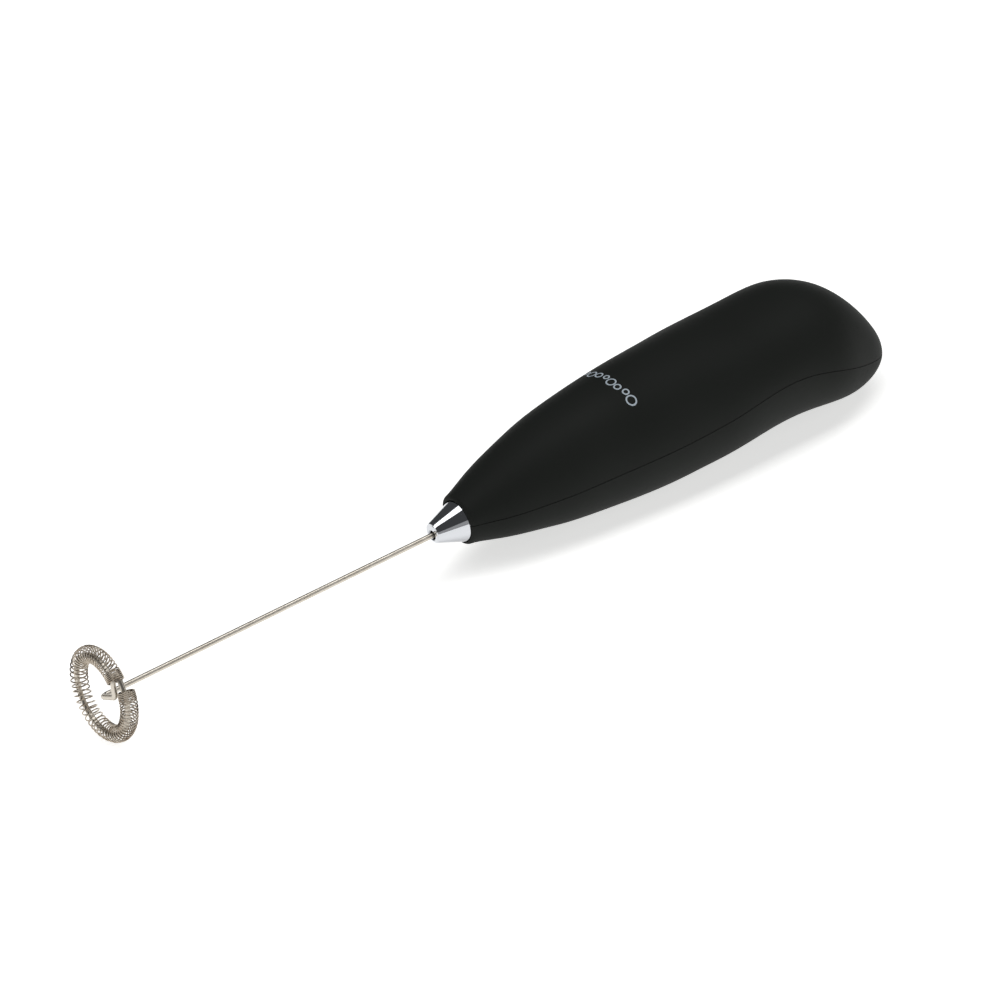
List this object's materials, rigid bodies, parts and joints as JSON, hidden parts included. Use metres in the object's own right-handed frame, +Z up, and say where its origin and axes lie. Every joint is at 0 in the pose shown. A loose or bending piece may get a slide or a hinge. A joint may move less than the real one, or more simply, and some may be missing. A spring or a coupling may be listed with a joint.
{
  "type": "milk frother",
  "caption": "Hand-held milk frother lying on a table: curved two-shell handle with a motor and cells, chromed nose cone, long steel shaft and a hoop whisk wound with a coil spring.",
  "frame": {"origin": "bottom centre of the whole frother as it lies on a table, cover up", "axes": "+X along the whisk shaft from the hoop to the tail of the handle, +Z up through the battery cover, +Y to the left"},
  "size_m": [0.2228, 0.0348, 0.0318],
  "materials": {
    "black_shell": "satin moulded ABS with a fine soft texture",
    "black_button": "satin moulded ABS",
    "chromed_brass": "polished chrome plate",
    "white_acetal": "machined acetal",
    "brass": "turned",
    "stainless_wire": "drawn wire",
    "steel": "ground",
    "copper": "enamelled copper",
    "zinc_plated_steel": "zinc plated",
    "white_nylon": "moulded nylon",
    "sintered_bronze": "sintered, oil filled",
    "ferrite": "sintered ferrite",
    "carbon": "pressed carbon on a spring arm",
    "ceramic": "dipped ceramic disc",
    "black_rubber": "moulded rubber",
    "dark_tray": "moulded ABS",
    "cell_sleeve": "printed shrink sleeve",
    "nickel_strip": "nickel-plated spring steel",
    "phosphor_bronze": "rolled strip",
    "black_lead": "PVC insulation",
    "red_lead": "PVC insulation"
  },
  "bodies": {
    "handle": {"body_shell": "black_shell", "nose_cone": "chromed_brass", "nose_bush": "white_acetal", "motor_can": "zinc_plated_steel", "motor_end_cap": "white_nylon", "front_bearing": "sintered_bronze", "rear_bearing": "sintered_bronze", "motor_magnets": "ferrite", "motor_brushes": "carbon", "motor_terminals": "brass", "capacitor": "ceramic", "motor_saddle": "black_rubber", "battery_tray": "dark_tray", "left_cell": "cell_sleeve", "right_cell": "cell_sleeve", "front_positive_contact": "nickel_strip", "front_negative_contact": "nickel_strip", "front_spring": "nickel_strip", "rear_bridge_plate": "nickel_strip", "rear_spring": "nickel_strip", "switch_leaf": "phosphor_bronze", "switch_contact": "phosphor_bronze", "switch_block": "dark_tray", "motor_to_switch_lead": "black_lead", "switch_to_battery_lead": "black_lead", "battery_to_motor_lead": "red_lead", "tray_screws": "zinc_plated_steel"},
    "cover": {"battery_cover": "black_shell"},
    "whisk": {"whisk_shaft": "stainless_wire", "whisk_coil": "stainless_wire", "coupling_sleeve": "brass", "motor_shaft": "steel", "armature_core": "steel", "armature_windings": "copper", "commutator": "copper"},
    "button": {"switch_button": "black_button"}
  },
  "joints": [
    {"name": "whisk_spin", "type": "hinge", "parent": "handle", "child": "whisk", "pos_m": [-0.0115, 0, 0.0121], "axis": [1, 0, 0], "continuous": true},
    {"name": "cover_lift", "type": "slide", "parent": "handle", "child": "cover", "axis": [0, 0, 1], "range_m": [0, 0.03]},
    {"name": "switch_press", "type": "slide", "parent": "handle", "child": "button", "axis": [0, 0, 1], "range_m": [0, 0.001], "stiffness_N_per_m": 500, "deforming": ["switch_leaf"]}
  ]
}
